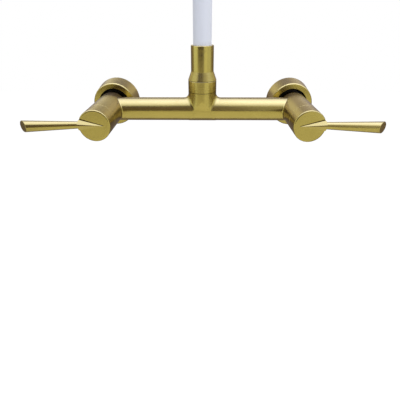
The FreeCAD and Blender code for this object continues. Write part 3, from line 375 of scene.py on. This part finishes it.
def makeLongGrain():
    # short scratches drawn out along one axis, as a brushing belt leaves them
    group, given, result = newGroup(
        "longGrain",
        (("Stretch", "Vector", (1, 1, 1)), ("Size", "Float", 0.0006)),
        (("Height", "Float"), ("Mask", "Float")),
    )
    place = group.nodes.new("ShaderNodeTexCoord")
    drawn = vectorNode(group, "MULTIPLY", place.outputs["Object"], given.outputs["Stretch"])
    count = mathNode(group, "DIVIDE", 1.0, given.outputs["Size"])
    scaled = vectorNode(group, "SCALE", drawn.outputs[0], scale=count)
    for label, size, detail in (("Height", 1.0, 3.0), ("Mask", 0.16, 2.0)):
        noise = group.nodes.new("ShaderNodeTexNoise")
        noise.inputs["Scale"].default_value = size
        noise.inputs["Detail"].default_value = detail
        group.links.new(scaled.outputs[0], noise.inputs["Vector"])
        group.links.new(noise.outputs["Fac"], result.inputs[label])
    return group


def makeHandling():
    # soft patches where hands and water have passed
    group, given, result = newGroup("handling", (("Patch", "Float", 0.018),), (("Patches", "Float"),))
    place = group.nodes.new("ShaderNodeTexCoord")
    count = mathNode(group, "DIVIDE", 1.0, given.outputs["Patch"])
    scaled = vectorNode(group, "SCALE", place.outputs["Object"], scale=count)
    noise = group.nodes.new("ShaderNodeTexNoise")
    noise.inputs["Scale"].default_value = 1.0
    noise.inputs["Detail"].default_value = 3.0
    noise.inputs["Roughness"].default_value = 0.55
    group.links.new(scaled.outputs[0], noise.inputs["Vector"])
    group.links.new(noise.outputs["Fac"], result.inputs["Patches"])
    return group


def makeHollow():
    # marks the inside of a wall flange, by its place behind the front lip, where near-black painted shade
    # goes
    group, given, result = newGroup(
        "flangeShadeMask",
        (
            ("Centre", "Vector", (0, 0, 0)),
            ("Base", "Float", 0.0255),
            ("Taper", "Float", 0.0875),
            ("Skin", "Float", 0.0008),
            ("Lip", "Float", 0.0236),
        ),
        (("Mask", "Float"),),
    )
    place = group.nodes.new("ShaderNodeTexCoord")
    offset = vectorNode(group, "SUBTRACT", place.outputs["Object"], given.outputs["Centre"])
    parts = group.nodes.new("ShaderNodeSeparateXYZ")
    group.links.new(offset.outputs[0], parts.inputs[0])
    flat = group.nodes.new("ShaderNodeCombineXYZ")
    linkAll(group, ((parts.outputs["X"], flat.inputs["X"]), (parts.outputs["Z"], flat.inputs["Z"])))
    radius = vectorNode(group, "LENGTH", flat.outputs[0])
    narrowing = mathNode(group, "MULTIPLY", parts.outputs["Y"], given.outputs["Taper"])
    outer = mathNode(group, "ADD", given.outputs["Base"], narrowing)
    wall = mathNode(group, "SUBTRACT", outer, given.outputs["Skin"])
    inside = mathNode(group, "LESS_THAN", radius.outputs["Value"], wall)
    depth = mathNode(group, "MULTIPLY", given.outputs["Lip"], -1.0)
    behind = mathNode(group, "GREATER_THAN", parts.outputs["Y"], depth)
    group.links.new(mathNode(group, "MULTIPLY", inside, behind), result.inputs["Mask"])
    return group


def makeBranch():
    # marks what stands out sideways from a turned body, beyond its own radius
    group, given, result = newGroup(
        "sideBranch",
        (("Centre", "Vector", (0, 0, 0)), ("Along", "Vector", (0, 1, 0)), ("Reach", "Float", 0.0155)),
        (("Mask", "Float"),),
    )
    radius = aboutAxis(group, given)[1]
    beyond = mathNode(group, "GREATER_THAN", radius, given.outputs["Reach"])
    group.links.new(beyond, result.inputs["Mask"])
    return group


latheLines = makeLatheLines()
longGrain = makeLongGrain()
handling = makeHandling()
flangeShadeMask = makeHollow()
sideBranch = makeBranch()
print("surface effects made")


# finishes

def useGroup(tree, group, **values):
    node = tree.nodes.new("ShaderNodeGroup")
    node.node_tree = group
    for label, value in values.items():
        node.inputs[label].default_value = value
    return node


gold = {
    "tone": (0.390, 0.299, 0.038),
    "deepTone": (0.312, 0.235, 0.022),
    "rimTint": (0.50, 0.42, 0.30),
    "roughness": (0.19, 0.26),
    "handled": (-0.015, 0.03),  # what handling adds to the roughness
    "grainDepth": 0.000005,
    "lacquer": 0.85,
    "lacquerIndex": 1.55,
    "lacquerRoughness": 0.28,
    # painted shade for the inside of the wall flanges, and the roughness it adds there
    "hollowPaintedShade": (0.004, 0.004, 0.006),
    "hollowRoughness": 0.5,
}


def newMaterial(name):
    material = bpy.data.materials.new(name)
    material.use_nodes = True
    tree = material.node_tree
    return material, tree, tree.nodes["Principled BSDF"]


def bumpFrom(tree, height, depth):
    bump = tree.nodes.new("ShaderNodeBump")
    bump.inputs["Distance"].default_value = depth
    tree.links.new(height, bump.inputs["Height"])
    return bump.outputs["Normal"]


def goldFinish(name, grain, depth=1.0, roughness=None, hollow=None, branch=None):
    # satin gold plate: grain is a lathe axis (centre, along, pitch) or a belt direction (stretch, size),
    # and branch is the belt direction of what stands out sideways from a turned body
    material, tree, shader = newMaterial(name)
    if len(grain) == 3:
        lines = useGroup(tree, latheLines, Centre=grain[0], Along=grain[1], Pitch=grain[2])
    else:
        lines = useGroup(tree, longGrain, Stretch=grain[0], Size=grain[1])
    height = lines.outputs["Height"]
    sheen = lines.outputs["Mask"]
    if branch is not None:
        beyond = useGroup(tree, sideBranch, Centre=grain[0], Along=grain[1])
        drawn = useGroup(tree, longGrain, Stretch=branch[0], Size=branch[1])
        height = blendValues(tree, beyond.outputs["Mask"], height, drawn.outputs["Height"])
        sheen = blendValues(tree, beyond.outputs["Mask"], sheen, drawn.outputs["Mask"])
    marks = useGroup(tree, handling)
    shade = mathNode(tree, "MULTIPLY", mathNode(tree, "ADD", marks.outputs["Patches"], height), 0.5)
    colour = blendTones(tree, ranged(tree, shade, 0.0, 1.0), gold["deepTone"], gold["tone"])
    low, high = roughness or gold["roughness"]
    handled = ranged(tree, marks.outputs["Patches"], *gold["handled"])
    rough = mathNode(tree, "ADD", ranged(tree, sheen, low, high), handled)
    shader.inputs["Metallic"].default_value = 1.0
    # inside the flange the gold is painted over near-black and matte: painted shade in the hollow
    if hollow is not None:
        inside = useGroup(tree, flangeShadeMask, Centre=hollow).outputs["Mask"]
        colour = blendTones(tree, inside, colour, gold["hollowPaintedShade"])
        rough = mathNode(tree, "ADD", rough, mathNode(tree, "MULTIPLY", inside, gold["hollowRoughness"]))
        tree.links.new(mathNode(tree, "SUBTRACT", 1.0, inside), shader.inputs["Metallic"])
    linkAll(tree, (
        (colour, shader.inputs["Base Color"]),
        (rough, shader.inputs["Roughness"]),
        (bumpFrom(tree, height, gold["grainDepth"] * depth), shader.inputs["Normal"]),
    ))
    shader.inputs["Specular Tint"].default_value = (*gold["rimTint"], 1)
    shader.inputs["Coat Weight"].default_value = gold["lacquer"]
    shader.inputs["Coat IOR"].default_value = gold["lacquerIndex"]
    shader.inputs["Coat Roughness"].default_value = gold["lacquerRoughness"]
    return material


# how far the roughness strays either way, and the size of the handled patches
turnedWear = {"smoother": 0.05, "rougher": 0.07, "patch": 0.006}
mouldedWear = {"smoother": 0.05, "rougher": 0.05, "patch": 0.03}


def plainMetal(name, grain, tone, darker, roughness, depth=1.0):
    # turned brass or steel, which lines run round and handling has darkened in places
    material, tree, shader = newMaterial(name)
    lines = useGroup(tree, latheLines, Centre=grain[0], Along=grain[1], Pitch=grain[2])
    marks = useGroup(tree, handling, Patch=turnedWear["patch"])
    low, high = roughness - turnedWear["smoother"], roughness + turnedWear["rougher"]
    rough = ranged(tree, lines.outputs["Mask"], low, high)
    normal = bumpFrom(tree, lines.outputs["Height"], gold["grainDepth"] * depth)
    shader.inputs["Metallic"].default_value = 1.0
    linkAll(tree, (
        (blendTones(tree, marks.outputs["Patches"], darker, tone), shader.inputs["Base Color"]),
        (rough, shader.inputs["Roughness"]),
        (normal, shader.inputs["Normal"]),
    ))
    return material


def softFinish(name, tone, darker, roughness, size, depth, sheen=0.0, gloss=0.5):
    # rubber, silicone, plastic and ceramic: a fine moulded grain with slow changes of tone
    material, tree, shader = newMaterial(name)
    grain = useGroup(tree, longGrain, Stretch=(1, 1, 1), Size=size)
    marks = useGroup(tree, handling, Patch=mouldedWear["patch"])
    low, high = roughness - mouldedWear["smoother"], roughness + mouldedWear["rougher"]
    rough = ranged(tree, grain.outputs["Mask"], low, high)
    normal = bumpFrom(tree, grain.outputs["Height"], depth)
    shader.inputs["Sheen Weight"].default_value = sheen
    shader.inputs["Specular IOR Level"].default_value = gloss
    linkAll(tree, (
        (blendTones(tree, marks.outputs["Patches"], darker, tone), shader.inputs["Base Color"]),
        (rough, shader.inputs["Roughness"]),
        (normal, shader.inputs["Normal"]),
    ))
    return material


metals = {
    "brass": {"tone": (0.55, 0.40, 0.16), "darker": (0.48, 0.34, 0.13), "roughness": 0.28, "depth": 1.5},
    # the union nuts are near-black as painted shade for the dark flange hollow they sit in
    "nut": {"tone": (0.03, 0.028, 0.026), "darker": (0.015, 0.014, 0.013), "roughness": 0.5},
    "steel": {"tone": (0.56, 0.56, 0.56), "darker": (0.47, 0.47, 0.48), "roughness": 0.3},
    "pin": {"tone": (0.58, 0.58, 0.58), "darker": (0.50, 0.50, 0.51), "roughness": 0.26},
    "plate": {"tone": (0.55, 0.55, 0.55), "darker": (0.46, 0.46, 0.46), "roughness": 0.32, "depth": 2.0},
}

soft = {
    "silicone": {
        "tone": (0.84, 0.87, 0.95),
        "darker": (0.81, 0.84, 0.935),
        "roughness": 0.52,
        "size": 0.0009,
        "depth": 0.000006,
        "sheen": 0.1,
        "gloss": 0.25,
    },
    "tube": {
        "tone": (0.72, 0.73, 0.70),
        "darker": (0.66, 0.67, 0.64),
        "roughness": 0.4,
        "size": 0.001,
        "depth": 0.00001,
    },
    "slip": {
        "tone": (0.80, 0.79, 0.75),
        "darker": (0.76, 0.75, 0.71),
        "roughness": 0.45,
        "size": 0.0008,
        "depth": 0.00001,
    },
    "seal": {
        "tone": (0.035, 0.035, 0.036),
        "darker": (0.022, 0.022, 0.023),
        "roughness": 0.55,
        "size": 0.0005,
        "depth": 0.00002,
        "gloss": 0.25,
    },
    "bumper": {
        "tone": (0.045, 0.044, 0.042),
        "darker": (0.030, 0.029, 0.028),
        "roughness": 0.6,
        "size": 0.0006,
        "depth": 0.00004,
        "gloss": 0.2,
    },
    "disc": {
        "tone": (0.80, 0.79, 0.75),
        "darker": (0.77, 0.76, 0.72),
        "roughness": 0.2,
        "size": 0.0004,
        "depth": 0.000004,
    },
}


def dress(node, material):
    mesh = nodes[node].data
    mesh.materials.clear()
    mesh.materials.append(material)


def centreOf(node):
    low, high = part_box(node)
    return tuple((low + high) / 2)


sides = {"left": -1, "right": 1}  # which way each lies from the middle
upward = (0, 0, 1)
outOfWall = (0, 1, 0)
latheStep = 0.00045
glandStep = 0.0004
# belt grain: how closely it repeats along each axis, and its size
crossBelt = ((0.05, 1, 1), 0.0006)
leverBelt = ((0.06, 1, 1), 0.0005)
squeezeBelt = ((1, 1, 0.06), 0.0005)

for label in sides:
    hubMiddle = centreOf(f"{label}_handle_hub")
    axis = (hubMiddle[0], 0, hubMiddle[2])
    turned = (axis, outOfWall, latheStep)
    # each flange's inside is painted near-black as painted shade
    dress(f"{label}_wall_flange", goldFinish(f"{label}Flange", turned, depth=0.8, hollow=axis))
    dress(f"{label}_valve_body", goldFinish(f"{label}Valve", turned, depth=0.7, branch=crossBelt))
    dress(f"{label}_handle_hub", goldFinish(f"{label}Hub", turned, depth=0.9))
    dress(f"{label}_handle_lever", goldFinish(f"{label}Lever", leverBelt, depth=0.8))
    brass = plainMetal(f"{label}Brass", turned, **metals["brass"])
    for part in ("inlet_union", "cartridge_housing", "cartridge_stem"):
        dress(f"{label}_{part}", brass)
    # the nut's near-black tone is painted shade, not the brass it is made of
    dress(f"{label}_union_nut", plainMetal(f"{label}ShadedNut", turned, **metals["nut"]))
    steel = plainMetal(f"{label}Steel", turned, **metals["steel"])
    for part in ("stem_clip", "handle_set_screw"):
        dress(f"{label}_{part}", steel)


# the wall threads are cut into copies of the two unions

union = {
    "radius": 0.01048,
    "overcut": 0.0004,
    "depth": 0.0011,
    "pitch": 0.001814,
    "flank": 0.46,  # half the groove's mouth, as a share of the pitch
    "drop": 0.004,  # from the valve's axis down to the spigot's
    "start": 0.0017,
    "end": 0.0150,
    "steps": 40,
}
creaseAngle = 32


def solidFrom(name, points, faces):
    mesh = bpy.data.meshes.new(name)
    mesh.from_pydata(points, [], faces)
    shaped = bmesh.new()
    shaped.from_mesh(mesh)
    bmesh.ops.recalc_face_normals(shaped, faces=shaped.faces)
    shaped.to_mesh(mesh)
    shaped.free()
    piece = bpy.data.objects.new(name, mesh)
    scene.collection.objects.link(piece)
    return piece


def threadCutter(middle):
    # a right-hand helix with a pointed root, which runs on past the spigot's end
    outer = union["radius"] + union["overcut"]
    inner = union["radius"] - union["depth"]
    half = union["flank"] * union["pitch"]
    count = int((union["end"] - union["start"]) / union["pitch"] * union["steps"])
    points = []
    faces = [(0, 1, 2)]
    for k in range(count + 1):
        angle = 2 * math.pi * k / union["steps"]
        along = union["start"] + union["pitch"] * k / union["steps"]
        for reach, shift in ((outer, -half), (outer, half), (inner, 0)):
            x = middle[0] + reach * math.cos(angle)
            z = middle[2] - reach * math.sin(angle)
            points.append((x, along + shift, z))
        if k:
            for i, j in ((0, 1), (1, 2), (2, 0)):
                faces.append((3 * k - 3 + i, 3 * k - 3 + j, 3 * k + j, 3 * k + i))
    faces.append((3 * count, 3 * count + 2, 3 * count + 1))
    return solidFrom("threadCutter", points, faces)


def copyOf(node, name):
    source = nodes[node]
    piece = bpy.data.objects.new(name, source.data.copy())
    piece.matrix_world = source.matrix_world
    scene.collection.objects.link(piece)
    return piece


def standFor(piece, node, body):
    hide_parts(node)
    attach(piece, body)


def applyStep(piece):
    ready = piece.evaluated_get(bpy.context.evaluated_depsgraph_get())
    mesh = bpy.data.meshes.new_from_object(ready)
    piece.modifiers.clear()
    piece.data = mesh


def cutBy(piece, cutter):
    stored = piece.data.attributes.get("custom_normal")
    if stored is not None:
        piece.data.attributes.remove(stored)  # these normals don't fit the cut faces
    step = piece.modifiers.new("cut", "BOOLEAN")
    step.operation = "DIFFERENCE"
    step.solver = "EXACT"
    step.object = cutter
    applyStep(piece)
    bpy.data.objects.remove(cutter)
    piece.data.shade_smooth()
    piece.data.set_sharp_from_angle(angle=math.radians(creaseAngle))
    # flats stay flat beside rounded edges
    level = piece.modifiers.new("level", "WEIGHTED_NORMAL")
    level.keep_sharp = True
    level.weight = 100
    applyStep(piece)


for label in sides:
    hubMiddle = centreOf(f"{label}_handle_hub")
    piece = copyOf(f"{label}_inlet_union", f"{label}_threaded_union")
    cutBy(piece, threadCutter((hubMiddle[0], 0, hubMiddle[2] - union["drop"])))
    standFor(piece, f"{label}_inlet_union", "base")
print("wall threads cut")


# a narrow groove in each hub's face follows the upper edge of the lever's root

groove = {
    "tip": (-0.0089, 0.0),  # outwards and up from the hub's axis, as the root is
    "root": (0.01425, 0.0061),
    "over": 0.003,  # how far the cutter runs on past the root
    "proud": 0.001,  # how far the cutter stands out of the face
    "width": 0.0014,
    "tipWidth": 0.0006,
    "depth": 0.0022,
}


def grooveCutter(middle, side, face):
    tip = Vector(groove["tip"])
    along = (Vector(groove["root"]) - tip).normalized()
    above = Vector((-along.y, along.x))
    end = Vector(groove["root"]) + along * groove["over"]
    outline = (tip, end, end + above * groove["width"], tip + above * groove["tipWidth"])
    points = []
    for y in (face - groove["proud"], face + groove["depth"]):
        points += [(middle[0] + side * spot.x, y, middle[2] + spot.y) for spot in outline]
    faces = [(0, 1, 2, 3), (4, 5, 6, 7)]
    faces += [(k, (k + 1) % 4, (k + 1) % 4 + 4, k + 4) for k in range(4)]
    return solidFrom("grooveCutter", points, faces)


for label, side in sides.items():
    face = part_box(f"{label}_handle_hub")[0][1]
    piece = copyOf(f"{label}_handle_hub", f"{label}_grooved_hub")
    cutBy(piece, grooveCutter(centreOf(f"{label}_handle_hub"), side, face))
    standFor(piece, f"{label}_handle_hub", f"{label}_handle")
print("hub grooves cut")


# a copy of the plunger spring stands in for it, carried by the spray head with a mesh of its own

returnSpring = copyOf("plunger_spring", "return_spring")
standFor(returnSpring, "plunger_spring", "spray_head")
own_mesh(returnSpring)
print("return spring set")


# the centre, the spout and the spray head

collar = {"pitch": 0.0010, "depth": 4.0, "roughness": (0.20, 0.28)}
riserAxis = centreOf("swivel_collar")
collarLines = (riserAxis, upward, collar["pitch"])
dress("bridge_tube", goldFinish("bridgeGold", crossBelt, depth=0.7))
dress("swivel_collar", goldFinish("collarGold", collarLines, collar["depth"], collar["roughness"]))
dress("riser_socket", goldFinish("socketGold", (riserAxis, upward, latheStep), depth=0.5))
dropTurned = (centreOf("hose_end_fitting"), upward, latheStep)
dress("hose_end_fitting", goldFinish("endFittingGold", dropTurned, depth=0.6))
dress("spray_body", goldFinish("sprayGold", dropTurned, depth=0.7))
dress("plunger_gland", goldFinish("glandGold", (centreOf("plunger_gland"), outOfWall, glandStep)))
dress("squeeze_lever", goldFinish("squeezeGold", squeezeBelt))

pinSteel = plainMetal("pinSteel", dropTurned, **metals["pin"])
for node in ("snap_ring", "socket_set_screw", "valve_plunger", "lever_pin", "gooseneck_core"):
    dress(node, pinSteel)
returnSpring.data.materials.clear()
returnSpring.data.materials.append(pinSteel)
dress("spray_plate", plainMetal("plateSteel", dropTurned, **metals["plate"]))

dress("hose_sleeve", softFinish("whiteSilicone", **soft["silicone"]))
dress("water_tube", softFinish("tubePlastic", **soft["tube"]))
dress("swivel_washer", softFinish("slipPlastic", **soft["slip"]))
dress("bumper_ring", softFinish("bumperRubber", **soft["bumper"]))
seal = softFinish("sealRubber", **soft["seal"])
ceramic = softFinish("discCeramic", **soft["disc"])
for node in ("swivel_o_rings", "spray_swivel_o_ring", "plunger_seal"):
    dress(node, seal)
for label in sides:
    for part in ("union_washer", "cartridge_seal", "stem_seal"):
        dress(f"{label}_{part}", seal)
    for part in ("fixed_disc", "moving_disc"):
        dress(f"{label}_{part}", ceramic)
print("finishes given")


print("scene dressed")
